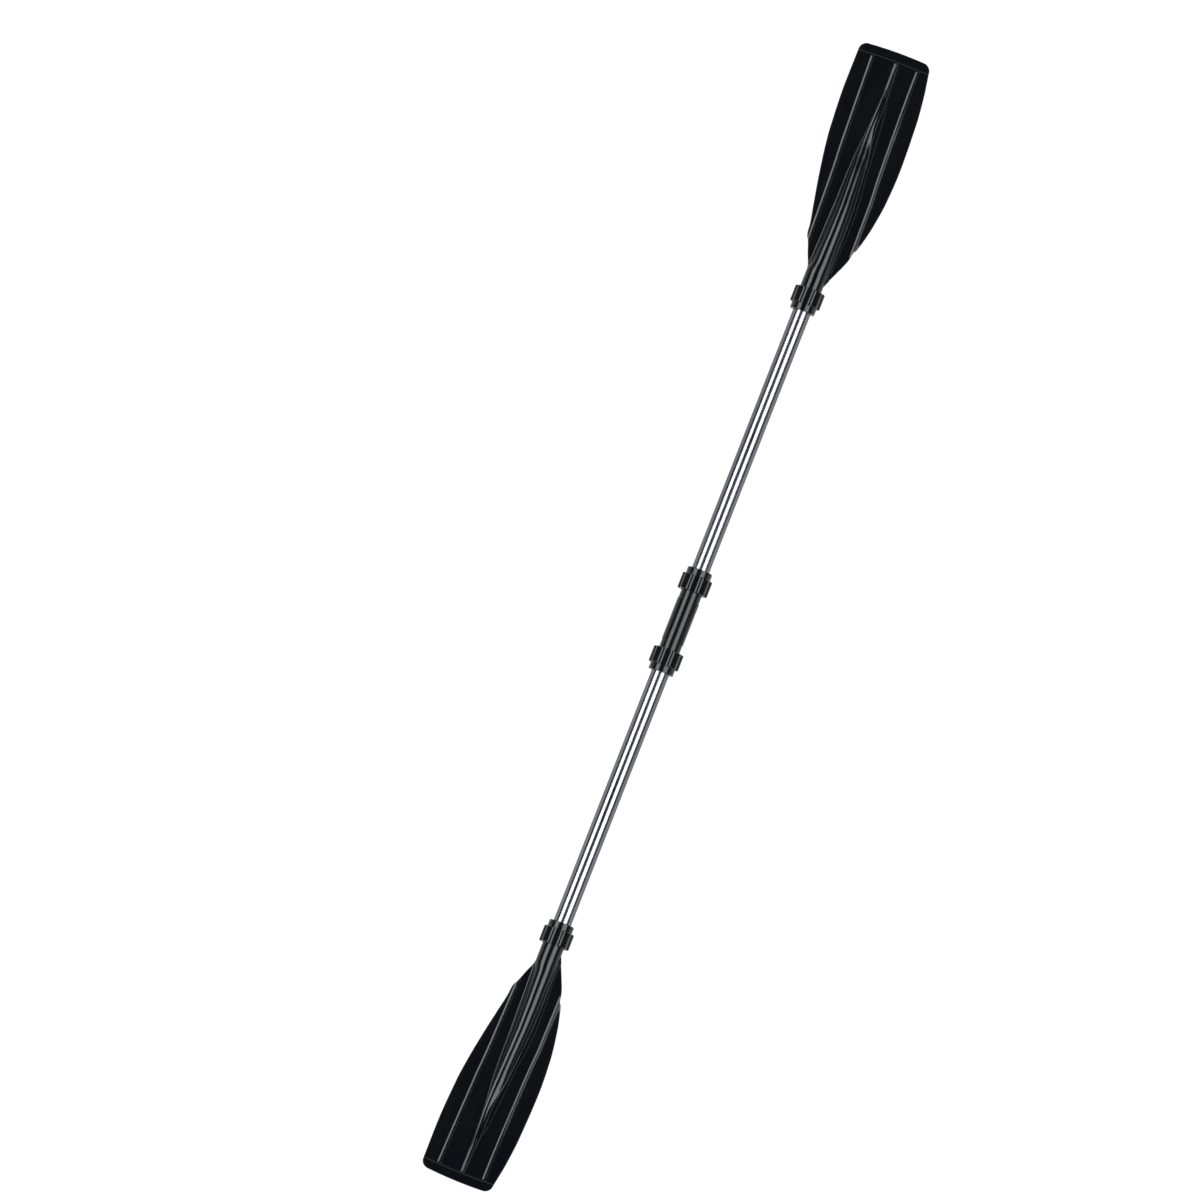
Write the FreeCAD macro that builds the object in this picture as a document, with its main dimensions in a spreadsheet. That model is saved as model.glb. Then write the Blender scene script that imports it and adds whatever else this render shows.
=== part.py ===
import FreeCAD, Part
import Sketcher
import math
import os
import re

# Take-apart double-bladed kayak paddle.
# X runs along the shaft, the blade faces look along +Z and -Z, and the origin is
# the middle of the hand grip on the shaft axis. The two ends are called a (-X)
# and b (+X). Every joint in the shaft is the same compression coupling, and each
# piece of a coupling is drawn along +X from the tube side face of its clamp nut.

Vector = FreeCAD.Vector
Rotation = FreeCAD.Rotation
Placement = FreeCAD.Placement
X_AXIS = Vector(1, 0, 0)
Y_AXIS = Vector(0, 1, 0)
Z_AXIS = Vector(0, 0, 1)

DIMENSIONS = {
    # aluminium tubes
    "tube_radius": 16.5,
    "tube_wall": 1.5,
    "tube_length": 642,
    "tube_into_blade": 70,
    # distance from the origin to the tube side face of each clamp nut
    "grip_reach": 98.5,
    "blade_reach_a": 600.5,
    "blade_reach_b": 582.5,
    # clamp nut
    "nut_length": 42.5,
    "collar_length": 12.5,
    "collar_radius": 23.4,
    "floor_radius": 23.9,
    "lug_reach": 28,
    "lug_flat": 4,
    "lug_shoulder": 8.2,
    "lug_foot": 22.6,
    "nut_bore": 16.95,
    "nut_end_wall": 4,
    "chamber_radius": 21.2,
    "chamber_end": 15,
    "skirt_start": 36,
    "skirt_radius": 21.5,
    # trapezoid thread between nut and socket
    "thread_pitch": 5,
    "nut_minor": 19.75,
    "nut_major": 20.95,
    "socket_major": 20.6,
    "socket_minor": 19.4,
    # socket that takes the tube
    "mouth": 14,
    "mouth_radius": 18.6,
    "mouth_depth": 8,
    "socket_bore": 16.58,
    "thread_end": 33,
    "relief_end": 37.5,
    "relief_radius": 19.3,
    # split wedge ring and seal ring
    "wedge_start": 4.1,
    "wedge_bore": 16.6,
    "wedge_flange": 20.6,
    "wedge_flange_end": 12.8,
    "wedge_nose_end": 18,
    "wedge_nose_root": 18.44,
    "wedge_nose_tip": 17.43,
    "wedge_slit": 2.4,
    "seal_start": 24,
    "seal_end": 28,
    "seal_bore": 16.55,
    "seal_radius": 18.1,
    "seal_round": 0.4,
    "seal_gap": 0.06,
    # end plug of a tube
    "plug_flange": 16.2,
    "plug_flange_length": 1.5,
    "plug_spigot": 14.95,
    "plug_length": 16,
    "plug_wall": 2,
    # hand grip between the two centre nuts
    "grip_radius": 19.5,
    "stop_half": 7,
    "pad_half_length": 41.3,
    "pad_radius": 20.5,
    "pad_bevel": 1.6,
    "pad_angle": 94,
    "pad_turned": 10,
    # blade
    "blade_length": 498.5,
    "neck_radius": 20.25,
    "neck_end": 80,
    "blade_bore_end": 74,
    "spoon_start": 98.5,
    "spoon_radius": 5700,
    "panel_half": 1.7,
    "lip_half": 2.6,
    "lip_depth": 17,
    "rib_half": 4.4,
    "rib_width": 5,
    "rib_from_tip": 20,
    "side_rib_end": 128,
    "side_rib_left_tip": -48.7,
    "side_rib_left_root": -40.4,
    "side_rib_right_tip": 36.9,
    "side_rib_right_root": 45.6,
    "mid_rib_tip": -5.9,
    "mid_rib_root": 0,
    "mid_rib_end": 250,
}

# Spine sections: distance from the nut face, side offset, half width, half height.
SPINE = [
    (66, 0.0, 20.2, 20.2),
    (150, 0.0, 19.4, 15.6),
    (250, -1.6, 18.0, 10.4),
    (350, -3.6, 13.0, 6.2),
    (440, -5.2, 4.6, 4.0),
]

# Blade outline: distance back from the tip and distance from the shaft axis.
LEFT_EDGE = [
    (14, 77.6), (80, 78.0), (170, 73.8), (205, 69.8), (259, 61.2), (313, 50.8),
    (349, 44.0), (361, 42.6), (374, 37.2), (396, 29.0), (421, 19.6), (440, 13.0),
]
RIGHT_EDGE = [
    (15, 57.4), (60, 64.8), (115, 70.1), (205, 73.0), (259, 70.4), (313, 62.8),
    (349, 53.6), (366, 47.2), (385, 43.4), (414, 32.2), (439, 21.8), (456, 15.0),
]
# The tip edge is slightly crowned between its two rounded corners.
TIP_EDGE = [(4.2, -70.5), (1.2, -40.0), (0.0, 20.0), (3.4, 46.0)]

doc = FreeCAD.newDocument("KayakPaddle")
sheet = doc.addObject("Spreadsheet::Sheet", "Dimensions")
for row, (alias, number) in enumerate(DIMENSIONS.items(), start=1):
    sheet.set("A%d" % row, alias)
    sheet.set("B%d" % row, str(number))
    sheet.setAlias("B%d" % row, alias)
doc.recompute()


def size(alias):
    """A driving dimension read back from the sheet."""
    return float(sheet.get(alias))


def formula(text):
    """The same expression with every word pointed at the sheet."""
    return re.sub(r"[a-z][a-z_]+", lambda word: "Dimensions." + word.group(0), text)


def bind(thing, field, text):
    """Tie one property of an object to the sheet."""
    thing.setExpression(field, formula(text))


def origin_feature(body, role):
    """A plane or axis of a body's own origin."""
    return next(item for item in body.Origin.OriginFeatures if item.Role == role)


def new_body(label):
    """An empty body with its label."""
    body = doc.addObject("PartDesign::Body", label)
    body.Label = label
    return body


def empty_sketch(body, name, role):
    """A sketch on one of the body's origin planes."""
    sketch = body.newObject("Sketcher::SketchObject", name)
    sketch.AttachmentSupport = [(origin_feature(body, role), "")]
    sketch.MapMode = "FlatFace"
    return sketch


def outline(body, name, role, corners):
    """A closed straight-sided sketch whose corners are tied to the sheet."""
    sketch = empty_sketch(body, name, role)
    count = len(corners)
    start = []
    for index in range(count):
        angle = 2 * math.pi * index / count
        start.append(Vector(60 + 40 * math.cos(angle), 60 + 40 * math.sin(angle), 0))
    for index in range(count):
        side = Part.LineSegment(start[index], start[(index + 1) % count])
        sketch.addGeometry(side, False)
    for index in range(count):
        following = (index + 1) % count
        sketch.addConstraint(Sketcher.Constraint("Coincident", index, 2, following, 1))
    for index, corner in enumerate(corners):
        for kind, axis, text, at in (
            ("DistanceX", -2, corner[0], start[index].x),
            ("DistanceY", -1, corner[1], start[index].y),
        ):
            if text == "0":
                rule = Sketcher.Constraint("PointOnObject", index, 1, axis)
                sketch.addConstraint(rule)
                continue
            rule = Sketcher.Constraint(kind, -1, 1, index, 1, at)
            number = sketch.addConstraint(rule)
            bind(sketch, "Constraints[%d]" % number, text)
    return sketch


def lug_outline(body):
    """Section of one nut lug: flat crown, two round shoulders and a shallow V base."""
    sketch = empty_sketch(body, "LugOutline", "YZ_Plane")
    flat = size("lug_flat")
    shoulder = size("lug_shoulder")
    reach = size("lug_reach")
    low = reach - shoulder
    wide = flat + shoulder
    foot = Vector(0, -size("lug_foot"), 0)
    crown = Part.LineSegment(Vector(-flat, -reach, 0), Vector(flat, -reach, 0))
    circle = Part.Circle(Vector(flat, -low, 0), Z_AXIS, shoulder)
    near = Part.ArcOfCircle(circle, -math.pi / 2, 0)
    circle = Part.Circle(Vector(-flat, -low, 0), Z_AXIS, shoulder)
    far = Part.ArcOfCircle(circle, math.pi, 1.5 * math.pi)
    base_near = Part.LineSegment(Vector(wide, -low, 0), foot)
    base_far = Part.LineSegment(foot, Vector(-wide, -low, 0))
    for side in (crown, near, base_near, base_far, far):
        sketch.addGeometry(side, False)
    for index in range(5):
        following = (index + 1) % 5
        sketch.addConstraint(Sketcher.Constraint("Coincident", index, 2, following, 1))
    for arc in (1, 4):
        number = sketch.addConstraint(Sketcher.Constraint("Radius", arc, shoulder))
        bind(sketch, "Constraints[%d]" % number, "lug_shoulder")
    sketch.addConstraint(Sketcher.Constraint("PointOnObject", 2, 2, -2))
    for kind, side, end, text, at in (
        ("DistanceX", 1, 3, "lug_flat", flat),
        ("DistanceY", 1, 3, "lug_shoulder - lug_reach", -low),
        ("DistanceX", 4, 3, "-lug_flat", -flat),
        ("DistanceY", 4, 3, "lug_shoulder - lug_reach", -low),
        ("DistanceX", 0, 2, "lug_flat", flat),
        ("DistanceX", 0, 1, "-lug_flat", -flat),
        ("DistanceY", 1, 2, "lug_shoulder - lug_reach", -low),
        ("DistanceY", 4, 1, "lug_shoulder - lug_reach", -low),
        ("DistanceY", 2, 2, "-lug_foot", foot.y),
    ):
        rule = Sketcher.Constraint(kind, -1, 1, side, end, at)
        number = sketch.addConstraint(rule)
        bind(sketch, "Constraints[%d]" % number, text)
    return sketch


def revolve(body, name, corners, role="XY_Plane", kind="PartDesign::Revolution"):
    """A full turn of an outline about the shaft axis."""
    sketch = outline(body, name + "Outline", role, corners)
    feature = body.newObject(kind, name)
    feature.Profile = sketch
    feature.ReferenceAxis = (origin_feature(body, "X_Axis"), [""])
    feature.Angle = 360
    return feature


def polar(body, name, features, count, role="X_Axis"):
    """Copies of features round an axis of the body."""
    pattern = body.newObject("PartDesign::PolarPattern", name)
    pattern.Originals = features
    pattern.Axis = (origin_feature(body, role), [""])
    pattern.Angle = 360
    pattern.Occurrences = count
    body.Tip = pattern
    return pattern


def thread(body, name, corners, length):
    """A helical groove of trapezoid section cut along the shaft axis."""
    feature = body.newObject("PartDesign::SubtractiveHelix", name)
    feature.Profile = outline(body, name + "Section", "XY_Plane", corners)
    body.Tip = feature
    feature.ReferenceAxis = (origin_feature(body, "X_Axis"), [""])
    feature.Mode = "pitch-height-angle"
    bind(feature, "Pitch", "thread_pitch")
    bind(feature, "Height", length)
    return feature


def half_turn(at):
    """Placement of a coupling piece that faces the other way along the shaft."""
    return Placement(Vector(at, 0, 0), Rotation(Z_AXIS, 180))


def shifted(at):
    """Placement of a coupling piece that keeps its direction."""
    return Placement(Vector(at, 0, 0), Rotation())


parts = []


def keep(thing, placement):
    """Place a finished sub-part and put it on the list that is written out."""
    thing.Placement = placement
    parts.append(thing)


# Where the four couplings sit: name and the placement of its pieces.
COUPLINGS = {
    "blade_a": half_turn(-size("blade_reach_a")),
    "grip_a": shifted(-size("grip_reach")),
    "grip_b": half_turn(size("grip_reach")),
    "blade_b": shifted(size("blade_reach_b")),
}


def clamp_nut(label):
    """Five-lug compression nut, threaded inside, with a plain collar."""
    body = new_body(label)
    revolve(body, "Shell", [
        ("0", "nut_bore"),
        ("0", "collar_radius - 0.8"),
        ("0.8", "collar_radius"),
        ("collar_length", "collar_radius"),
        ("collar_length", "floor_radius"),
        ("nut_length - 0.8", "floor_radius"),
        ("nut_length", "floor_radius - 0.8"),
        ("nut_length", "skirt_radius"),
        ("skirt_start", "skirt_radius"),
        ("skirt_start", "nut_minor"),
        ("chamber_end", "nut_minor"),
        ("chamber_end", "chamber_radius"),
        ("nut_end_wall", "chamber_radius"),
        ("nut_end_wall", "nut_bore"),
    ])
    section = lug_outline(body)
    section.setExpression(".AttachmentOffset.Base.z", formula("collar_length"))
    lug = body.newObject("PartDesign::Pad", "Lug")
    lug.Profile = section
    bind(lug, "Length", "nut_length - collar_length")
    polar(body, "Lugs", [lug], 5)
    revolve(body, "FrontBevel", [
        ("collar_length - 1", "lug_reach - 2.9"),
        ("collar_length + 3", "lug_reach + 3"),
        ("collar_length - 1", "lug_reach + 3"),
    ], kind="PartDesign::Groove")
    revolve(body, "BackBevel", [
        ("nut_length + 1", "lug_reach - 2.9"),
        ("nut_length - 3", "lug_reach + 3"),
        ("nut_length + 1", "lug_reach + 3"),
    ], kind="PartDesign::Groove")
    thread(body, "Thread", [
        ("chamber_end - 5.9", "nut_minor - 0.45"),
        ("chamber_end - 2.1", "nut_minor - 0.45"),
        ("chamber_end - 3.1", "nut_major"),
        ("chamber_end - 4.9", "nut_major"),
    ], "skirt_start - chamber_end + 8")
    return body


def wedge_ring(label):
    """Split ring that the nut drives into the mouth of the socket."""
    body = new_body(label)
    revolve(body, "Ring", [
        ("wedge_start", "wedge_bore"),
        ("wedge_start", "wedge_flange - 0.5"),
        ("wedge_start + 0.5", "wedge_flange"),
        ("wedge_flange_end", "wedge_flange"),
        ("wedge_flange_end", "wedge_nose_root + 0.3"),
        ("mouth", "wedge_nose_root"),
        ("wedge_nose_end", "wedge_nose_tip"),
        ("wedge_nose_end", "wedge_bore"),
    ])
    slit = body.newObject("PartDesign::Pocket", "Slit")
    slit.Profile = outline(body, "SlitOutline", "XZ_Plane", [
        ("wedge_start - 1", "wedge_bore - 2"),
        ("wedge_nose_end + 1", "wedge_bore - 2"),
        ("wedge_nose_end + 1", "wedge_flange + 2"),
        ("wedge_start - 1", "wedge_flange + 2"),
    ])
    slit.SideType = "Symmetric"
    bind(slit, "Length", "wedge_slit")
    body.Tip = slit
    return body


def seal_ring(label):
    """Rubber ring in the groove of a socket."""
    body = new_body(label)
    ring = revolve(body, "Ring", [
        ("seal_start + seal_gap", "seal_bore"),
        ("seal_start + seal_gap", "seal_radius"),
        ("seal_end - seal_gap", "seal_radius"),
        ("seal_end - seal_gap", "seal_bore"),
    ])
    doc.recompute()
    soft = body.newObject("PartDesign::Fillet", "Rounds")
    soft.Base = (ring, ["Edge%d" % number for number in range(1, len(ring.Shape.Edges) + 1)
                        if ring.Shape.Edges[number - 1].BoundBox.XLength < 0.01])
    bind(soft, "Radius", "seal_round")
    body.Tip = soft
    return body


def tube_plug(label):
    """Cup-shaped plug pressed into the end of a tube, drawn pointing into it."""
    body = new_body(label)
    revolve(body, "Cup", [
        ("-plug_flange_length", "0"),
        ("-plug_flange_length", "plug_flange - 0.6"),
        ("-plug_flange_length + 0.6", "plug_flange"),
        ("0", "plug_flange"),
        ("0", "plug_spigot"),
        ("plug_length - 1.5", "plug_spigot"),
        ("plug_length", "plug_spigot - 0.7"),
        ("plug_length", "plug_spigot - plug_wall"),
        ("plug_wall - plug_flange_length", "plug_spigot - plug_wall"),
        ("plug_wall - plug_flange_length", "0"),
    ])
    return body


def shaft_tube(label):
    """Round drawn tube with square ends."""
    body = new_body(label)
    revolve(body, "Wall", [
        ("0", "tube_radius - tube_wall"),
        ("0", "tube_radius - 0.25"),
        ("0.25", "tube_radius"),
        ("tube_length - 0.25", "tube_radius"),
        ("tube_length", "tube_radius - 0.25"),
        ("tube_length", "tube_radius - tube_wall"),
    ])
    return body


# Socket outline shared by the hand grip and the blades, from the mouth inwards.
SOCKET_OUTSIDE = [
    ("mouth", "mouth_radius"),
    ("mouth", "socket_major - 0.9"),
    ("mouth + 0.9", "socket_major"),
    ("thread_end", "socket_major"),
    ("thread_end + 1.2", "relief_radius"),
    ("relief_end", "relief_radius"),
]
SOCKET_INSIDE = [
    ("seal_end", "socket_bore"),
    ("seal_end", "seal_radius + seal_gap"),
    ("seal_start", "seal_radius + seal_gap"),
    ("seal_start", "socket_bore"),
    ("mouth + mouth_depth", "socket_bore"),
]
SOCKET_THREAD = [
    ("mouth - 7.6", "socket_major + 0.6"),
    ("mouth - 3.4", "socket_major + 0.6"),
    ("mouth - 4.4", "socket_minor"),
    ("mouth - 6.6", "socket_minor"),
]


def hand_grip(label):
    """Centre connector: a grip with a threaded socket at each end."""
    body = new_body(label)
    # One half is turned up from the end face to the middle and drawn with the
    # same stations as the couplings, shifted by the reach of the nut.
    here = [("%s - grip_reach" % along, out) for along, out in SOCKET_OUTSIDE]
    back = [("%s - grip_reach" % along, out) for along, out in SOCKET_INSIDE]
    half = revolve(body, "Half", here + [
        ("relief_end - grip_reach", "grip_radius"),
        ("0", "grip_radius"),
        ("0", "0"),
        ("-stop_half", "0"),
        ("-stop_half", "socket_bore"),
    ] + back)
    cut = thread(body, "Thread", [
        ("%s - grip_reach" % along, out) for along, out in SOCKET_THREAD
    ], "thread_end - mouth + 8.2")
    polar(body, "BothHalves", [half, cut], 2, "Z_Axis")
    section = outline(body, "PadOutline", "XY_Plane", [
        ("-pad_half_length", "grip_radius - 1"),
        ("-pad_half_length", "grip_radius"),
        ("-pad_half_length + pad_bevel", "pad_radius"),
        ("pad_half_length - pad_bevel", "pad_radius"),
        ("pad_half_length", "grip_radius"),
        ("pad_half_length", "grip_radius - 1"),
    ])
    section.AttachmentOffset = Placement(Vector(), Rotation(X_AXIS, -size("pad_turned")))
    pad = body.newObject("PartDesign::Revolution", "Pad")
    pad.Profile = section
    pad.ReferenceAxis = (origin_feature(body, "X_Axis"), [""])
    pad.Midplane = True
    bind(pad, "Angle", "pad_angle")
    polar(body, "Pads", [pad], 2)
    doc.recompute()
    return body


def neck_core(label):
    """The turned part of a blade: threaded socket and neck, without its bore."""
    body = new_body(label)
    revolve(body, "Turned", SOCKET_OUTSIDE + [
        ("relief_end", "neck_radius - 0.6"),
        ("relief_end + 0.6", "neck_radius"),
        ("neck_end", "neck_radius"),
        ("neck_end", "0"),
        ("mouth", "0"),
    ])
    thread(body, "Thread", SOCKET_THREAD, "thread_end - mouth + 8.2")
    return body


def bore_tool(label):
    """Everything that is hollow inside the socket of a blade."""
    body = new_body(label)
    revolve(body, "Hollow", [
        ("mouth - 1", "0"),
        ("mouth - 1", "mouth_radius + 0.2525"),
        ("mouth + mouth_depth", "socket_bore"),
        ("seal_start", "socket_bore"),
        ("seal_start", "seal_radius + seal_gap"),
        ("seal_end", "seal_radius + seal_gap"),
        ("seal_end", "socket_bore"),
        ("blade_bore_end", "socket_bore"),
        ("blade_bore_end", "0"),
    ])
    return body


def curved_slab(name, half_thickness):
    """A wide plate of even thickness that follows the spoon of the blade."""
    start = size("spoon_start")
    radius = size("spoon_radius")
    sweep = (size("blade_length") + 20 - start) / radius
    centre = Vector(start, 0, radius)

    def point(distance, angle):
        return centre + Vector(math.sin(angle), 0, -math.cos(angle)) * distance

    upper = radius - half_thickness
    lower = radius + half_thickness
    root = size("neck_end") - 30
    wire = Part.Wire([
        Part.makeLine(Vector(root, 0, -half_thickness), Vector(root, 0, half_thickness)),
        Part.makeLine(Vector(root, 0, half_thickness), point(upper, 0)),
        Part.Arc(point(upper, 0), point(upper, sweep / 2), point(upper, sweep)).toShape(),
        Part.makeLine(point(upper, sweep), point(lower, sweep)),
        Part.Arc(point(lower, sweep), point(lower, sweep / 2), point(lower, 0)).toShape(),
        Part.makeLine(point(lower, 0), Vector(root, 0, -half_thickness)),
    ])
    slab = doc.addObject("Part::Feature", name)
    slab.Shape = Part.Face(wire).extrude(Vector(0, 200, 0))
    slab.Placement = shifted(0).multiply(Placement(Vector(0, -100, 0), Rotation()))
    return slab


def flat_face(name, edges):
    """A flat outline in the plane of the shaft, low enough to be raised into a prism."""
    outline_face = doc.addObject("Part::Feature", name)
    outline_face.Shape = Part.Face(Part.Wire(edges))
    outline_face.Placement = Placement(Vector(0, 0, -60), Rotation())
    return outline_face


def prism(name, face):
    """The outline raised through the whole depth of the blade."""
    solid = doc.addObject("Part::Extrusion", name)
    solid.Base = face
    solid.DirMode = "Custom"
    solid.Dir = Z_AXIS
    solid.LengthFwd = 120
    solid.Solid = True
    return solid


def shared(name, first, second):
    """What two solids have in common."""
    common = doc.addObject("Part::Common", name)
    common.Base = first
    common.Tool = second
    return common


def smooth(points):
    """A smooth edge through a run of points."""
    curve = Part.BSplineCurve()
    curve.interpolate(points)
    return curve.toShape()


def panel_edges(flip):
    """The outline of the blade panel, closed inside the neck."""
    tip = size("blade_length")
    left = [Vector(tip - back, -flip * out, 0) for back, out in LEFT_EDGE]
    right = [Vector(tip - back, flip * out, 0) for back, out in RIGHT_EDGE]
    crown = [Vector(tip - back, flip * across, 0) for back, across in TIP_EDGE]
    corner_left = smooth([left[0], Vector(tip - 7.0, -flip * 75.6, 0), crown[0]])
    corner_right = smooth([crown[-1], Vector(tip - 7.8, flip * 52.6, 0), right[0]])
    return [
        smooth(left[::-1]),
        corner_left,
        smooth(crown),
        corner_right,
        smooth(right),
        Part.makeLine(right[-1], left[-1]),
    ]


def strip_edges(start, finish, width_start, width_finish):
    """A straight tapering strip between two points of the blade plane."""
    first = [start + Vector(0, -width_start / 2, 0), start + Vector(0, width_start / 2, 0)]
    last = [finish + Vector(0, width_finish / 2, 0), finish + Vector(0, -width_finish / 2, 0)]
    corners = first + last
    return [Part.makeLine(corners[i], corners[(i + 1) % 4]) for i in range(4)]


def spine(name, flip):
    """The tapering backbone from the neck towards the tip."""
    sections = []
    for index, (along, across, half_width, half_height) in enumerate(SPINE):
        ring = doc.addObject("Part::Ellipse", "%sSection%d" % (name, index))
        ring.MajorRadius = half_width
        ring.MinorRadius = half_height
        past = max(0, along - size("spoon_start"))
        rise = past * past / (2 * size("spoon_radius"))
        # the ellipse is drawn in XY, so its long axis is first turned to Y and its
        # plane is then stood up across the shaft
        turn = Rotation(Y_AXIS, 90).multiply(Rotation(Z_AXIS, 90))
        ring.Placement = Placement(Vector(along, flip * across, rise), turn)
        sections.append(ring)
    loft = doc.addObject("Part::Loft", name)
    loft.Sections = sections
    loft.Solid = True
    loft.Ruled = False
    return loft


def blade(label, flip, core, hollow):
    """Ribbed blade: panel, lip, three ribs, spine, neck and threaded socket."""
    tag = label.title().replace("_", "")
    tip = size("blade_length")
    rib_top = tip - size("rib_from_tip")
    edge_prism = prism(tag + "EdgePrism", flat_face(tag + "Edge", panel_edges(flip)))
    solids = [
        core,
        spine(tag + "Spine", flip),
        shared(tag + "Panel", edge_prism, curved_slab(tag + "PanelSlab", size("panel_half"))),
    ]
    strips = {
        "Lip": (Vector(tip - size("lip_depth"), 0, 0), Vector(tip + 10, 0, 0), 190, 190),
        "MidRib": (
            Vector(size("mid_rib_end"), flip * size("mid_rib_root"), 0),
            Vector(rib_top, flip * size("mid_rib_tip"), 0),
            size("rib_width"), size("rib_width")),
        "LeftRib": (
            Vector(size("side_rib_end"), flip * size("side_rib_left_root"), 0),
            Vector(rib_top, flip * size("side_rib_left_tip"), 0),
            size("rib_width"), size("rib_width")),
        "RightRib": (
            Vector(size("side_rib_end"), flip * size("side_rib_right_root"), 0),
            Vector(rib_top, flip * size("side_rib_right_tip"), 0),
            size("rib_width"), size("rib_width")),
    }
    for name, (start, finish, width_start, width_finish) in strips.items():
        half = size("lip_half") if name == "Lip" else size("rib_half")
        strip = flat_face(tag + name, strip_edges(start, finish, width_start, width_finish))
        slab = curved_slab(tag + name + "Slab", half)
        band = shared(tag + name + "Band", prism(tag + name + "Prism", strip), slab)
        solids.append(shared(tag + name + "Trimmed", band, edge_prism))
    joined = doc.addObject("Part::MultiFuse", tag + "Joined")
    joined.Shapes = solids
    cut = doc.addObject("Part::Cut", tag + "Bored")
    cut.Base = joined
    cut.Tool = hollow
    cut.Label = label
    return cut


# The hand grip is the fixed piece, and everything else is clamped to it in turn.
keep(hand_grip("hand_grip"), Placement())

for name, place in COUPLINGS.items():
    keep(clamp_nut("clamp_nut_" + name), place)
    keep(wedge_ring("wedge_ring_" + name), place)
    keep(seal_ring("seal_ring_" + name), place)

tube_start = {
    "a": -size("blade_reach_a") - size("tube_into_blade"),
    "b": size("blade_reach_b") + size("tube_into_blade") - size("tube_length"),
}
for end, start in tube_start.items():
    finish = start + size("tube_length")
    keep(shaft_tube("shaft_tube_" + end), shifted(start))
    low, high = ("outer", "inner") if end == "a" else ("inner", "outer")
    keep(tube_plug("tube_plug_%s_%s" % (end, low)), shifted(start))
    keep(tube_plug("tube_plug_%s_%s" % (end, high)), half_turn(finish))

core = neck_core("NeckCore")
hollow = bore_tool("NeckHollow")
keep(blade("blade_a", -1, core, hollow), COUPLINGS["blade_a"])
keep(blade("blade_b", 1, core, hollow), COUPLINGS["blade_b"])

doc.recompute()
for thing in doc.Objects:
    if "Invalid" in thing.State or "Error" in thing.State:
        raise RuntimeError("%s failed: %s" % (thing.Label, thing.State))
for thing in parts:
    if thing.Shape.isNull() or not thing.Shape.isValid():
        raise RuntimeError("%s has no valid shape" % thing.Label)
    if len(thing.Shape.Solids) != 1:
        raise RuntimeError("%s is not one solid" % thing.Label)

os.makedirs("parts", exist_ok=True)
for thing in parts:
    thing.Shape.exportStep(os.path.join("parts", thing.Label + ".step"))
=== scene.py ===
import math

import bmesh
import bpy
import numpy as np
from mathutils import Matrix, Vector


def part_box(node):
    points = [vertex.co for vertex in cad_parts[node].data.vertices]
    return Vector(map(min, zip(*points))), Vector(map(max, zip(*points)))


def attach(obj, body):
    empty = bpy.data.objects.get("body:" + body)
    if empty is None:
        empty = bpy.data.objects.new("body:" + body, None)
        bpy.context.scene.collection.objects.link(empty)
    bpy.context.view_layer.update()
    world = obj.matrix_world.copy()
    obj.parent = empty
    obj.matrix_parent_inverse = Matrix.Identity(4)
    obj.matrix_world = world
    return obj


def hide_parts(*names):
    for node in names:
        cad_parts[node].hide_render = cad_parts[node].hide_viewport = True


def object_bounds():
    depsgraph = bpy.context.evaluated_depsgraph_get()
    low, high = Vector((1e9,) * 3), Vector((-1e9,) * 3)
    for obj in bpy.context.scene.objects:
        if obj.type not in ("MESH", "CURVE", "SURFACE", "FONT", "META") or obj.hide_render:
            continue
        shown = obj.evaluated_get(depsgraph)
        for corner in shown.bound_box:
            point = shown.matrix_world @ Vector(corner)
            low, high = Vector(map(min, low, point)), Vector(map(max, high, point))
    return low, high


# Looks of the take-apart kayak paddle. The shaft lies along X, the blade faces look
# along +Z and -Z, and the origin is the middle of the hand grip. Lengths below are
# metres unless a comment says otherwise.

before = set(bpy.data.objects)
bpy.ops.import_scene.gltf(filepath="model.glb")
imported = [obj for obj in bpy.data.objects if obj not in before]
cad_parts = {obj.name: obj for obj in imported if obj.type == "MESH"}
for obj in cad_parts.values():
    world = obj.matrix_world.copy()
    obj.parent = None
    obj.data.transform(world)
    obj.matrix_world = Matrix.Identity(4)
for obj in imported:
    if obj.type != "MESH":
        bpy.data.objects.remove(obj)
cad_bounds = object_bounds()
MM = 0.001


# ---------------------------------------------------------------- materials

def clear_material(name):
    """A node material with one Principled shader, and the shader itself."""
    material = bpy.data.materials.new(name)
    material.use_nodes = True
    tree = material.node_tree
    tree.nodes.clear()
    output = tree.nodes.new("ShaderNodeOutputMaterial")
    shader = tree.nodes.new("ShaderNodeBsdfPrincipled")
    tree.links.new(shader.outputs["BSDF"], output.inputs["Surface"])
    return material, tree, shader


def stretched(tree, scale):
    """Object coordinates stretched by a different factor along each axis."""
    place = tree.nodes.new("ShaderNodeTexCoord")
    mapping = tree.nodes.new("ShaderNodeMapping")
    mapping.inputs["Scale"].default_value = scale
    tree.links.new(place.outputs["Object"], mapping.inputs["Vector"])
    return mapping.outputs["Vector"]


def noise(tree, vector, scale, detail=4.0, rough=0.55):
    """A noise value over a coordinate."""
    node = tree.nodes.new("ShaderNodeTexNoise")
    node.inputs["Scale"].default_value = scale
    node.inputs["Detail"].default_value = detail
    node.inputs["Roughness"].default_value = rough
    tree.links.new(vector, node.inputs["Vector"])
    return node.outputs["Fac"]


def spread(tree, value, low, high, first, last):
    """Map a value from one span to another."""
    node = tree.nodes.new("ShaderNodeMapRange")
    node.inputs["From Min"].default_value = low
    node.inputs["From Max"].default_value = high
    node.inputs["To Min"].default_value = first
    node.inputs["To Max"].default_value = last
    tree.links.new(value, node.inputs["Value"])
    return node.outputs["Result"]


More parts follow.
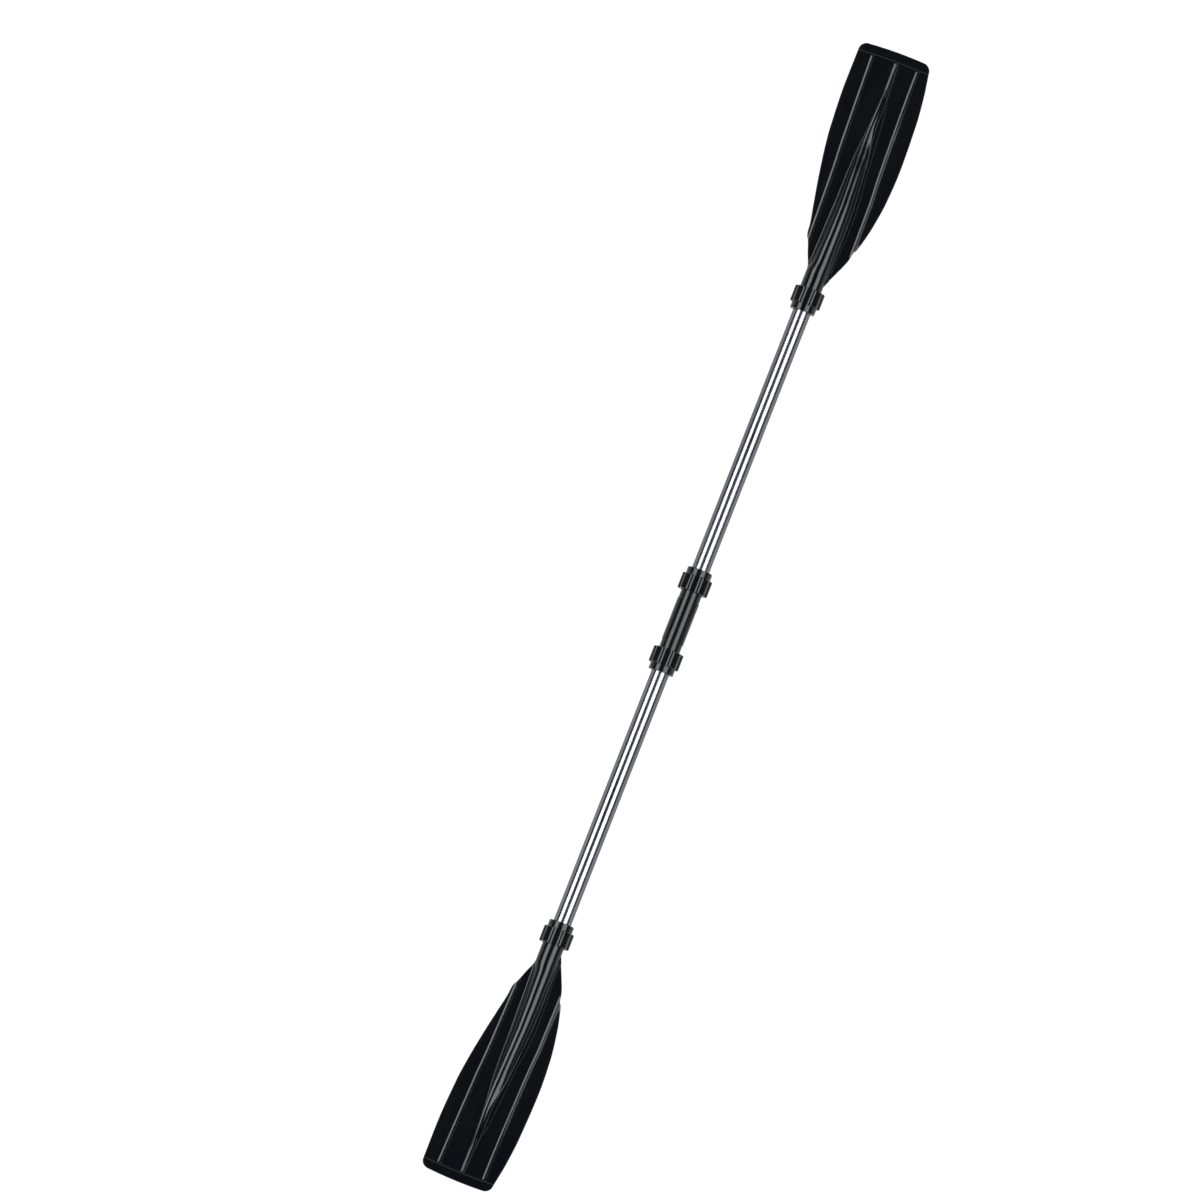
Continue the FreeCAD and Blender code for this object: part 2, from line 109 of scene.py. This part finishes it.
def tint(tree, value, stops):
    """A colour ramp over a value."""
    node = tree.nodes.new("ShaderNodeValToRGB")
    ramp = node.color_ramp
    ramp.elements[0].position, ramp.elements[0].color = stops[0]
    ramp.elements[1].position, ramp.elements[1].color = stops[-1]
    for position, colour in stops[1:-1]:
        ramp.elements.new(position).color = colour
    tree.links.new(value, node.inputs["Fac"])
    return node.outputs["Color"]


def add(tree, first, second, operation="ADD"):
    """Two values combined."""
    node = tree.nodes.new("ShaderNodeMath")
    node.operation = operation
    for socket, value in zip(node.inputs, (first, second)):
        tree.links.new(value, socket)
    return node.outputs["Value"]


def bump(tree, shader, heights):
    """A chain of bumps, each a (height, strength, distance)."""
    before = None
    for height, strength, distance in heights:
        node = tree.nodes.new("ShaderNodeBump")
        node.inputs["Strength"].default_value = strength
        node.inputs["Distance"].default_value = distance
        tree.links.new(height, node.inputs["Height"])
        if before is not None:
            tree.links.new(before, node.inputs["Normal"])
        before = node.outputs["Normal"]
    tree.links.new(before, shader.inputs["Normal"])


def moulded_plastic(name, dark, light, gloss, orange_peel, along):
    """Black injection-moulded plastic: flow marks, faint orange peel, fine scuffs."""
    material, tree, shader = clear_material(name)
    flow = noise(tree, stretched(tree, (along, 1, 1)), 28, 5, 0.6)
    shade = tint(tree, flow, [(0.30, dark), (0.72, light)])
    tree.links.new(shade, shader.inputs["Base Color"])
    pores = noise(tree, stretched(tree, (1, 1, 1)), 900, 2, 0.5)
    scuff_a = noise(tree, stretched(tree, (9, 260, 260)), 1.0, 6, 0.7)
    scuff_b = noise(tree, stretched(tree, (170, 14, 170)), 1.0, 5, 0.7)
    scuffs = add(tree, spread(tree, scuff_a, 0.60, 0.78, 0, 1),
                 spread(tree, scuff_b, 0.64, 0.80, 0, 0.8))
    rough = add(tree, spread(tree, flow, 0.3, 0.7, gloss - 0.025, gloss + 0.035),
                spread(tree, scuffs, 0, 2, 0, 0.13))
    tree.links.new(rough, shader.inputs["Roughness"])
    shader.inputs["Specular IOR Level"].default_value = 0.25
    shader.inputs["IOR"].default_value = 1.5
    bump(tree, shader, [
        (noise(tree, stretched(tree, (1, 1, 1)), 260, 2, 0.4), orange_peel, 0.0004),
        (pores, orange_peel * 0.6, 0.00012),
        (scuffs, 0.05, 0.0001),
    ])
    return material


def drawn_aluminium(name):
    """Bright anodised drawn tube with die lines along it."""
    material, tree, shader = clear_material(name)
    streaks = noise(tree, stretched(tree, (1.3, 420, 420)), 1.0, 6, 0.6)
    broad = noise(tree, stretched(tree, (3, 30, 30)), 1.0, 3, 0.5)
    shade = tint(tree, add(tree, streaks, broad, "MULTIPLY"), [
        (0.10, (0.135, 0.14, 0.157, 1)),
        (0.42, (0.20, 0.205, 0.222, 1)),
    ])
    tree.links.new(shade, shader.inputs["Base Color"])
    shader.inputs["Metallic"].default_value = 1.0
    shader.inputs["Specular Tint"].default_value = (0.5, 0.5, 0.52, 1)
    rough = spread(tree, streaks, 0.3, 0.7, 0.15, 0.24)
    tree.links.new(rough, shader.inputs["Roughness"])
    shader.inputs["Anisotropic"].default_value = 0.35
    bump(tree, shader, [
        (streaks, 0.10, 0.00012),
        (noise(tree, stretched(tree, (40, 60, 60)), 1.0, 3, 0.5), 0.04, 0.0003),
    ])
    return material


def soft_rubber(name):
    """Matt black seal rubber with a fine bloom."""
    material, tree, shader = clear_material(name)
    bloom = noise(tree, stretched(tree, (1, 1, 1)), 160, 5, 0.6)
    shade = tint(tree, bloom, [(0.3, (0.012, 0.012, 0.012, 1)), (0.7, (0.03, 0.03, 0.03, 1))])
    tree.links.new(shade, shader.inputs["Base Color"])
    tree.links.new(spread(tree, bloom, 0.3, 0.7, 0.55, 0.75), shader.inputs["Roughness"])
    bump(tree, shader, [(noise(tree, stretched(tree, (1, 1, 1)), 700, 3, 0.5), 0.2, 0.0002)])
    return material


def hidden_plastic(name, dark, light):
    """Matt moulded plastic of the inner rings and plugs."""
    material, tree, shader = clear_material(name)
    grain = noise(tree, stretched(tree, (1, 1, 1)), 240, 4, 0.6)
    tree.links.new(tint(tree, grain, [(0.3, dark), (0.7, light)]), shader.inputs["Base Color"])
    tree.links.new(spread(tree, grain, 0.3, 0.7, 0.38, 0.52), shader.inputs["Roughness"])
    bump(tree, shader, [(noise(tree, stretched(tree, (1, 1, 1)), 600, 3, 0.5), 0.15, 0.0002)])
    return material


blade_black = moulded_plastic("blade_black", (0.0016, 0.0021, 0.0032, 1),
                              (0.0027, 0.0034, 0.0047, 1), 0.15, 0.08, 0.25)
nut_black = moulded_plastic("nut_black", (0.0016, 0.0020, 0.0028, 1),
                            (0.0027, 0.0032, 0.0042, 1), 0.15, 0.06, 1.0)
grip_black = moulded_plastic("grip_black", (0.0018, 0.0022, 0.0030, 1),
                             (0.0030, 0.0035, 0.0045, 1), 0.19, 0.10, 1.0)
tube_metal = drawn_aluminium("tube_metal")
seal_black = soft_rubber("seal_black")
wedge_grey = hidden_plastic("wedge_grey", (0.035, 0.035, 0.037, 1), (0.055, 0.055, 0.058, 1))
plug_black = hidden_plastic("plug_black", (0.010, 0.010, 0.011, 1), (0.020, 0.020, 0.021, 1))

FINISHES = {
    "clamp_nut": nut_black,
    "hand_grip": grip_black,
    "shaft_tube": tube_metal,
    "seal_ring": seal_black,
    "wedge_ring": wedge_grey,
    "tube_plug": plug_black,
    "blade": blade_black,
}
for name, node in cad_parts.items():
    finish = next(look for start, look in FINISHES.items() if name.startswith(start))
    for place in node.material_slots:
        place.material = finish


# ---------------------------------------------------------------- blades

# The CAD blade gives the overall length, the spoon and the outline. Here it is drawn
# again as one smooth skin with rounded edges, rolled ribs and a blended spine.
# Distances in this section are millimetres. "back" is the distance from the tip.

# Thickness of the panel and of the lip at the tip, halved, the depth of the lip, and
# the stretch over which it falls to the panel.
PANEL_HALF = 1.7
LIP_HALF = 2.6
LIP_DEPTH = 17.0
LIP_RAMP = (LIP_DEPTH - 1.2, LIP_DEPTH + 0.6)
# The bead that closes the lip, and how far it stands in front of the lip's end.
BEAD_HEIGHT = 0.35
BEAD_WIDTH = 0.9
BEAD_SHIFT = 0.4
# The round neck: its radius, where the skin has become round, and where the skin ends.
NECK_RADIUS = 20.25
NECK_BACK = 421.0
SEAM_BACK = 430.0
# In metres: how far the neck reaches into the skin, and the distance for welding.
SEAM_OVERLAP = 0.00002
WELD = 1e-6
# The blade bends in one long curve from SPOON_BACK to the tip.
SPOON_BACK = 400.0
SPOON_RADIUS = 5700.0
# The two tip corners, and how far the tip edge bulges between them.
LEFT_CORNER = 14.0
RIGHT_CORNER = 15.0
CROWN = 3.2
CROWN_MIDDLE = 6
CROWN_HALF = 70
CROWN_FADE = 45
# Radius of the rounded edge all round the blade.
RIM = 0.9

# Outline: distance back from the tip and distance from the shaft axis.
LEFT_EDGE = [
    (14, 77.6), (80, 78.0), (170, 73.8), (205, 69.8), (259, 61.2), (313, 50.8),
    (347, 44.2), (360, 43.0), (366, 41.6), (374, 37.2), (396, 29.0), (416, 21.2),
    (NECK_BACK, NECK_RADIUS), (460, NECK_RADIUS),
]
RIGHT_EDGE = [
    (15, 57.4), (60, 64.8), (115, 70.1), (205, 73.0), (259, 70.6), (313, 63.4),
    (349, 55.2), (361, 51.6), (366, 48.2), (382, 45.0), (412, 33.2), (436, 23.0),
    (446, NECK_RADIUS), (460, NECK_RADIUS),
]

# Ribs: where they start and how long they are, then for each one the distance back
# from the tip and from the shaft axis of the middle of its gentle slope.
RIB_START = 19.0
RIB_LENGTH = 350
LEFT_RIB = [(RIB_START, -50.6), (114, -47.6), (195, -44.6), (231, -42.4), (267, -41.0),
            (370, -37.8)]
RIGHT_RIB = [(RIB_START, 35.6), (60, 35.7), (114, 36.8), (168, 38.5), (195, 39.4), (231, 40.8),
             (270, 43.4), (370, 45.0)]
MID_RIB = [(RIB_START, -5.3), (60, -5.0), (114, -6.1), (155, -6.7), (195, -5.8), (231, -4.2)]
# Ribs and spine rise over the first stretch. The outer ribs fade out over the second,
# and the middle one, which is also a little larger, over its own.
RIB_ENDS = (RIB_START - 1.0, RIB_START + 2.5)
RIB_FADE = (372, 381)
MID_RIB_FADE = (45, 95)
MID_RIB_SCALE = 1.15
# Section of a rib: width of its gentle slope, height, where its steep side stands and
# how wide that is, and the offsets at which the section bends.
RIB_RISE = 2.9
RIB_HEIGHT = 0.95
RIB_TOP = 4.8
RIB_FALL = 0.5
RIB_CREASES = (-1.95, -1.1, 1.1, 1.95, 4.3, 4.55, 5.05, 5.3)
# The right rib turns into a long wedge: the length of its slope at the tip, how much
# longer that grows, the share of the rib over which it changes, and its steepness.
WEDGE_RUN = 3.5
WEDGE_GROWTH = 4.0
WEDGE_CHANGE = (0.05, 0.40)
WEDGE_SLOPE = 0.178
# The ledge beside the spine: its edge, the width of that edge, where it rises out of
# the spine, its height and the stretch over which it starts.
LEDGE_RIGHT = [(RIB_START, 0.0), (87, 6.6), (114, 9.9), (141, 12.6), (195, 17.1), (231, 19.8),
               (267, 24.3), (303, 26.6), (339, 26.6), (375, 25.2), (NECK_BACK, 24.0)]
LEDGE_FALL = 0.3
LEDGE_RISE = (-1.0, 1.0)
LEDGE_HIGH = 0.15
LEDGE_START = (60, 110)
# The spine: its line, its height, how far it reaches to each side, the power that
# shapes each flank, and the radius of the hollow at its foot.
SPINE_LINE = [(RIB_START, -3.0), (51, -3.4), (87, -3.9), (114, -4.4), (141, -4.8), (168, -4.2),
              (195, -2.7), (231, -0.8), (267, 0.9), (303, 2.0), (339, 2.0), (375, 1.6),
              (402, 1.2), (NECK_BACK, 0.0)]
SPINE_HEIGHT = [(RIB_START, 0.0), (51, 0.45), (87, 0.9), (114, 1.2), (141, 1.7), (168, 3.4),
                (195, 6.4), (231, 11.0), (267, 14.5), (303, 17.5), (339, 19.3), (375, 20.0),
                (NECK_BACK, NECK_RADIUS)]
SPINE_LEFT = [(RIB_START, 1.5), (51, 2.2), (87, 2.9), (114, 3.5), (141, 4.6), (168, 7.4),
              (195, 11.0), (231, 14.0), (267, 15.8), (303, 17.0), (339, 17.4), (402, 18.2),
              (NECK_BACK, NECK_RADIUS)]
SPINE_RIGHT = [(RIB_START, 3.0), (51, 5.0), (87, 7.5), (114, 8.5), (141, 8.8), (168, 11.0),
               (195, 13.6), (231, 14.9), (267, 16.4), (303, 18.0), (339, 18.8), (402, 19.4),
               (NECK_BACK, NECK_RADIUS)]
LEFT_POWER = [(130, 1.0), (195, 0.86), (231, 0.76), (267, 0.70), (303, 0.64), (339, 0.57),
              (NECK_BACK, 0.5)]
RIGHT_POWER = [(60, 1.0), (114, 1.5), (141, 2.0), (168, 1.3), (195, 0.90), (231, 0.76),
               (267, 0.70), (303, 0.64), (339, 0.57), (NECK_BACK, 0.5)]
FOOT_ROUND = [(150, 0.6), (195, 1.2), (267, 2.4), (303, 3.4), (339, 4.2), (402, 4.6),
              (NECK_BACK, 4.0)]
RIGHT_FOOT_ROUND = 0.8
# Radius that blends the spine into the panel.
BLEND = [(40, 0.3), (120, 0.8), (300, 1.8), (400, 2.0), (NECK_BACK, 0.8)]
# Relief on the back of the blade, as a share of that on the front.
BACK_RELIEF = 0.75
# Columns of the mesh: in from each rim, out along each flank of the spine as shares of
# its reach, across the ledge's edge as shares of its width, and how many cells lie
# between two of them.
RIM_COLUMNS = (0, 0.25, 0.6, RIM)
SPINE_SHARES = (0.15, 0.3, 0.5, 0.7, 0.84, 0.93, 0.98, 1.0, 1.04, 1.1, 1.17, 1.26)
LEDGE_SHARES = (-1.2, -0.5, 0.5, 1.2)
SPAN_STEPS = 2
# Rows of the mesh: in all, and packed into the stretch next to the tip.
STATIONS = 400
TIP_STATIONS = 60
TIP_STRETCH = LIP_DEPTH * 1.6
TIP_PACKING = 1.7


def step(low, high, value):
    """Smooth rise from 0 to 1 between two values."""
    span = np.clip((value - low) / (high - low), 0, 1)
    return span * span * (3 - 2 * span)


def through(points, at):
    """Smooth curve through points, by cubic Hermite pieces with limited slopes."""
    xs = np.array([p[0] for p in points], float)
    ys = np.array([p[1] for p in points], float)
    gaps = np.diff(xs)
    slopes = np.diff(ys) / gaps
    inner = np.where(slopes[:-1] * slopes[1:] > 0,
                     2 * slopes[:-1] * slopes[1:] / (slopes[:-1] + slopes[1:] + 1e-12), 0)
    lead = np.concatenate([[slopes[0]], inner, [slopes[-1]]])
    at = np.clip(at, xs[0], xs[-1])
    cell = np.clip(np.searchsorted(xs, at) - 1, 0, len(gaps) - 1)
    run = (at - xs[cell]) / gaps[cell]
    return ((1 + 2 * run) * (1 - run) ** 2 * ys[cell]
            + run * (1 - run) ** 2 * gaps[cell] * lead[cell]
            + run * run * (3 - 2 * run) * ys[cell + 1]
            + run * run * (run - 1) * gaps[cell] * lead[cell + 1])


def soft_max(first, second, blend):
    """The larger of two heights with the crease between them rounded."""
    mix = np.clip(0.5 + 0.5 * (first - second) / blend, 0, 1)
    return second + (first - second) * mix + blend * mix * (1 - mix)


def edge_from_axis(points, corner, back):
    """Distance of an edge from the shaft axis, with its tip corner rounded."""
    edge = through(points, np.maximum(back, corner))
    return edge - corner * (1 - np.sqrt(1 - (1 - np.clip(back / corner, 0, 1)) ** 2))


def left_side(back):
    """Distance of the -Y edge from the shaft axis."""
    return edge_from_axis(LEFT_EDGE, LEFT_CORNER, back)


def right_side(back):
    """Distance of the +Y edge from the shaft axis."""
    return edge_from_axis(RIGHT_EDGE, RIGHT_CORNER, back)


def ramp(off, width, soft=0.35):
    """Straight slope from 0 to 1 centred on off = 0, with both of its ends rounded."""
    return sum(np.clip((off + shift) / width + 0.5, 0, 1) for shift in (-soft, 0, soft)) / 3


def rib(off, rise, top, height):
    """Flat-topped rib: a gentle slope on its -Y side and a steep one on its +Y side."""
    return height * (ramp(off, rise) - ramp(off - top, RIB_FALL, 0))


def wedge(off, share_back, height):
    """The +Y rib: towards the neck its top falls away in one long gentle slope."""
    run = WEDGE_RUN + WEDGE_GROWTH * share_back
    mix = step(*WEDGE_CHANGE, share_back)
    tall = height * (1 - mix) + WEDGE_SLOPE * run * mix
    long_fall = ramp(off - RIB_RISE / 2 - run / 2, run)
    steep_fall = ramp(off - RIB_TOP, RIB_FALL, 0)
    return tall * (ramp(off, RIB_RISE) - mix * long_fall - (1 - mix) * steep_fall)


def straight(points, at):
    """Straight lines through points."""
    return np.interp(at, [p[0] for p in points], [p[1] for p in points])


def skin_height(back, across, side):
    """Height of the front (side 1) or back (side -1) skin above the middle of the panel."""
    lip = (LIP_HALF - PANEL_HALF) * (1 - step(*LIP_RAMP, back))
    bead = BEAD_HEIGHT * np.exp(-((back - LIP_DEPTH + BEAD_SHIFT) / BEAD_WIDTH) ** 2)
    base = PANEL_HALF + lip + bead
    ends = step(*RIB_ENDS, back)
    fade = 1 - step(*RIB_FADE, back)
    share_back = np.clip((back - RIB_START) / RIB_LENGTH, 0, 1)
    high = RIB_HEIGHT * ends
    left = rib(across - straight(LEFT_RIB, back), RIB_RISE, RIB_TOP, high * fade)
    right = fade * ends * wedge(across - straight(RIGHT_RIB, back), share_back, RIB_HEIGHT)
    middle = rib(across - through(MID_RIB, back), RIB_RISE * MID_RIB_SCALE, RIB_TOP,
                 high * MID_RIB_SCALE * (1 - step(*MID_RIB_FADE, back)))
    off = across - through(SPINE_LINE, back)
    ledge = step(*LEDGE_RISE, off) - ramp(across - through(LEDGE_RIGHT, back), LEDGE_FALL, 0)
    ledge = LEDGE_HIGH * step(*LEDGE_START, back) * np.maximum(ledge, 0)
    reach = np.where(off > 0, through(SPINE_RIGHT, back), through(SPINE_LEFT, back))
    share = np.clip(np.abs(off) / reach, 0, 1)
    power = np.where(off > 0, straight(RIGHT_POWER, back), straight(LEFT_POWER, back))
    hump = through(SPINE_HEIGHT, back) * (1 - share ** 2) ** power
    foot = np.where(off > 0, RIGHT_FOOT_ROUND, straight(FOOT_ROUND, back))
    run_up = np.clip(reach + foot - np.abs(off), 0, foot)
    hump = np.maximum(hump, foot - np.sqrt(foot ** 2 - run_up ** 2))
    relief = (left + right + middle) * (1 if side > 0 else BACK_RELIEF)
    return soft_max(base + ledge, base + hump * ends, straight(BLEND, back)) + relief


def column_places(back):
    """Positions across the blade: columns run along every crease and fill between them."""
    low = -left_side(back)
    high = right_side(back)
    spine = through(SPINE_LINE, back)
    ledge = through(LEDGE_RIGHT, back)
    lines = [low + inset for inset in RIM_COLUMNS] + [high - inset for inset in RIM_COLUMNS]
    for middle in (straight(LEFT_RIB, back), straight(RIGHT_RIB, back), through(MID_RIB, back)):
        lines += [middle + offset for offset in RIB_CREASES]
    for share in SPINE_SHARES:
        lines += [spine - share * through(SPINE_LEFT, back),
                  spine + share * through(SPINE_RIGHT, back)]
    lines += [spine] + [ledge + offset * LEDGE_FALL for offset in LEDGE_SHARES]
    lines = np.sort(np.clip(np.stack(lines), low, high), axis=0)
    share = np.linspace(0, len(lines) - 1, (len(lines) - 1) * SPAN_STEPS + 1)
    cell = np.minimum(share.astype(int), len(lines) - 2)
    run = (share - cell)[:, None]
    return lines[cell] * (1 - run) + lines[cell + 1] * run


def blade_skin(name, tip_x, inward):
    """Front and back skins of one blade, from the tip to the neck, meeting at the rim."""
    back = np.concatenate([
        TIP_STRETCH * np.linspace(0, 1, TIP_STATIONS, endpoint=False) ** TIP_PACKING,
        TIP_STRETCH + (SEAM_BACK - TIP_STRETCH) * np.linspace(0, 1, STATIONS - TIP_STATIONS),
    ])
    across = column_places(back)
    depth = np.broadcast_to(back, across.shape)
    low = -left_side(back)
    high = right_side(back)
    edge = np.minimum(np.minimum(across - low, high - across), depth)
    rounding = np.sqrt(np.maximum(0, 1 - (1 - np.clip(edge / RIM, 0, 1)) ** 2))
    crown = CROWN * ((across - CROWN_MIDDLE) / CROWN_HALF) ** 2 * np.exp(-depth / CROWN_FADE)
    place = depth + crown
    past = np.maximum(0, SPOON_BACK - place)
    rise = past ** 2 / (2 * SPOON_RADIUS)
    front = rise + skin_height(depth, across, 1) * rounding
    rear = rise - skin_height(depth, across, -1) * rounding
    x = (tip_x + inward * place) * MM
    count, length = across.shape

    def grid(height):
        return np.stack([x, across * MM, height * MM], axis=-1).reshape(-1, 3)

    points = np.concatenate([grid(front), grid(rear)])
    offset = count * length

    def at(column, station, rear_side=False):
        return column * length + station + (offset if rear_side else 0)

    faces = []
    for column in range(count - 1):
        for station in range(length - 1):
            quad = (at(column, station), at(column + 1, station),
                    at(column + 1, station + 1), at(column, station + 1))
            faces.append(quad)
            faces.append(tuple(index + offset for index in reversed(quad)))
    seam = [at(column, length - 1) for column in range(count)]
    seam += [at(column, length - 1, True) for column in reversed(range(count))]
    faces.append(tuple(seam))
    mesh = bpy.data.meshes.new(name)
    mesh.from_pydata(points.tolist(), [], faces)
    mesh.update()
    return mesh


def neck_copy(node, seam_x, keep_low):
    """The threaded socket and neck of a CAD blade, cut off where the skin begins."""
    shape = bmesh.new()
    shape.from_mesh(node.data)
    bmesh.ops.remove_doubles(shape, verts=shape.verts, dist=WELD)
    geometry = list(shape.verts) + list(shape.edges) + list(shape.faces)
    normal = Vector((1, 0, 0)) if keep_low else Vector((-1, 0, 0))
    cut = bmesh.ops.bisect_plane(shape, geom=geometry, dist=WELD,
                                 plane_co=Vector((seam_x, 0, 0)), plane_no=normal,
                                 clear_outer=True)
    rim = [item for item in cut["geom_cut"] if isinstance(item, bmesh.types.BMEdge)]
    bmesh.ops.contextual_create(shape, geom=rim)
    mesh = bpy.data.meshes.new(node.name + "_neck")
    shape.to_mesh(mesh)
    shape.free()
    return mesh


def merge_into(name, meshes):
    """One object from several meshes."""
    shape = bmesh.new()
    for mesh in meshes:
        shape.from_mesh(mesh)
    bmesh.ops.remove_doubles(shape, verts=shape.verts, dist=2 * WELD)
    bmesh.ops.recalc_face_normals(shape, faces=shape.faces)
    mesh = bpy.data.meshes.new(name)
    shape.to_mesh(mesh)
    shape.free()
    made = bpy.data.objects.new(name, mesh)
    bpy.context.scene.collection.objects.link(made)
    return made


def smooth_shading(thing, degrees=34):
    """Smooth faces with sharp edges kept above an angle."""
    mesh = thing.data
    mesh.polygons.foreach_set("use_smooth", np.ones(len(mesh.polygons), bool))
    mesh.set_sharp_from_angle(angle=math.radians(degrees))


for end in "ab":
    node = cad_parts["blade_" + end]
    low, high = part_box("blade_" + end)
    tip = low.x if end == "a" else high.x
    inward = 1 if end == "a" else -1
    seam_x = tip + inward * SEAM_BACK * MM
    skin = blade_skin("blade_skin_" + end, tip / MM, inward)
    neck = neck_copy(node, seam_x - inward * SEAM_OVERLAP, keep_low=end == "b")
    blade = merge_into("ribbed_blade_" + end, [skin, neck])
    smooth_shading(blade)
    blade.data.materials.append(blade_black)
    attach(blade, "blade_" + end)
    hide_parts("blade_" + end)


# ---------------------------------------------------------------- stage

FLOOR_EXTENT = 70.0
FLOOR_GAP = 0.0005
lowest = cad_bounds[0].z


def stage_plane(name, extent, height, material):
    """A flat square that is not part of the object."""
    mesh = bpy.data.meshes.new(name)
    corners = [(-extent, -extent, height), (extent, -extent, height),
               (extent, extent, height), (-extent, extent, height)]
    mesh.from_pydata(corners, [], [(0, 1, 2, 3)])
    plane = bpy.data.objects.new(name, mesh)
    plane.data.materials.append(material)
    bpy.context.scene.collection.objects.link(plane)


paper, paper_tree, paper_shader = clear_material("stage_paper")
paper_shader.inputs["Base Color"].default_value = (0.12, 0.12, 0.12, 1)
paper_shader.inputs["Emission Color"].default_value = (1, 1, 1, 1)
paper_shader.inputs["Emission Strength"].default_value = 0.95
paper_shader.inputs["Roughness"].default_value = 0.9
paper_shader.inputs["Specular IOR Level"].default_value = 0.1
stage_plane("stage_floor", FLOOR_EXTENT, lowest - FLOOR_GAP, paper)

# The room above is dark and turns pale towards the horizon.
world = bpy.data.worlds.new("studio")
bpy.context.scene.world = world
world.use_nodes = True
sky = world.node_tree
backdrop = sky.nodes["Background"]
direction = sky.nodes.new("ShaderNodeTexCoord")
parts = sky.nodes.new("ShaderNodeSeparateXYZ")
sky.links.new(direction.outputs["Generated"], parts.inputs["Vector"])
glow = spread(sky, parts.outputs["Z"], 0.02, 0.42, 0.0, 1.0)
sky.links.new(tint(sky, glow, [
    (0.0, (0.80, 0.82, 0.85, 1)),
    (0.45, (0.20, 0.21, 0.23, 1)),
    (1.0, (0.045, 0.050, 0.060, 1)),
]), backdrop.inputs["Color"])


def broad_light(name, towards, spread_degrees, strength):
    """An even light from a wide patch of the room in one direction."""
    data = bpy.data.lights.new(name, "SUN")
    data.angle = math.radians(spread_degrees)
    data.energy = strength
    lamp = bpy.data.objects.new(name, data)
    lamp.rotation_mode = "QUATERNION"
    lamp.rotation_quaternion = Vector(towards).to_track_quat("Z", "Y")
    lamp.location = Vector(towards).normalized() * 3
    bpy.context.scene.collection.objects.link(lamp)


def across_shaft(degrees):
    """A direction at an angle from straight above, square to the shaft."""
    return (0, math.sin(math.radians(degrees)), math.cos(math.radians(degrees)))


def along_shaft(degrees):
    """A direction at an angle from straight above, in line with the shaft."""
    return (math.sin(math.radians(degrees)), 0, math.cos(math.radians(degrees)))


broad_light("left_light", across_shaft(-38), 33, 2.3)
broad_light("right_light", across_shaft(36), 38, 2.8)
broad_light("low_end_light", along_shaft(58), 40, 0.5)
broad_light("top_end_light", along_shaft(-58), 40, 0.5)

# ---------------------------------------------------------------- camera

# The shaft leans 21.3 degrees from upright in the picture, blade b at the bottom
# left, seen almost square to the blade faces from a little towards blade b and +Y.
SHAFT_LEAN = math.radians(21.34)
TILT_TO_B = math.radians(5.5)
TILT_TO_Y = math.radians(3.0)
PICTURE_SPAN = 2.151
# The grip sits right of the middle of the picture and a little below it.
AIM_X = -0.009
AIM_LEFT = 0.1474
AIM_UP = 0.0304
LENS = 400.0
SENSOR = 36.0

camera_data = bpy.data.cameras.new("camera")
camera_data.lens = LENS
camera_data.sensor_width = SENSOR
camera = bpy.data.objects.new("camera", camera_data)
bpy.context.scene.collection.objects.link(camera)
bpy.context.scene.camera = camera

distance = PICTURE_SPAN * LENS / SENSOR
away = Vector((math.sin(TILT_TO_B), math.sin(TILT_TO_Y), 1)).normalized()
up_in_plane = Vector((-math.cos(SHAFT_LEAN), -math.sin(SHAFT_LEAN), 0))
right = up_in_plane.cross(away).normalized()
up = away.cross(right)
target = Vector((AIM_X, 0, 0)) - right * AIM_LEFT + up * AIM_UP
place = target + away * distance
camera.matrix_world = Matrix((
    (right.x, up.x, away.x, place.x),
    (right.y, up.y, away.y, place.y),
    (right.z, up.z, away.z, place.z),
    (0, 0, 0, 1),
))
camera_data.clip_start = 0.1
camera_data.clip_end = 100

bpy.context.scene.view_settings.view_transform = "Standard"
bpy.context.scene.view_settings.look = "None"
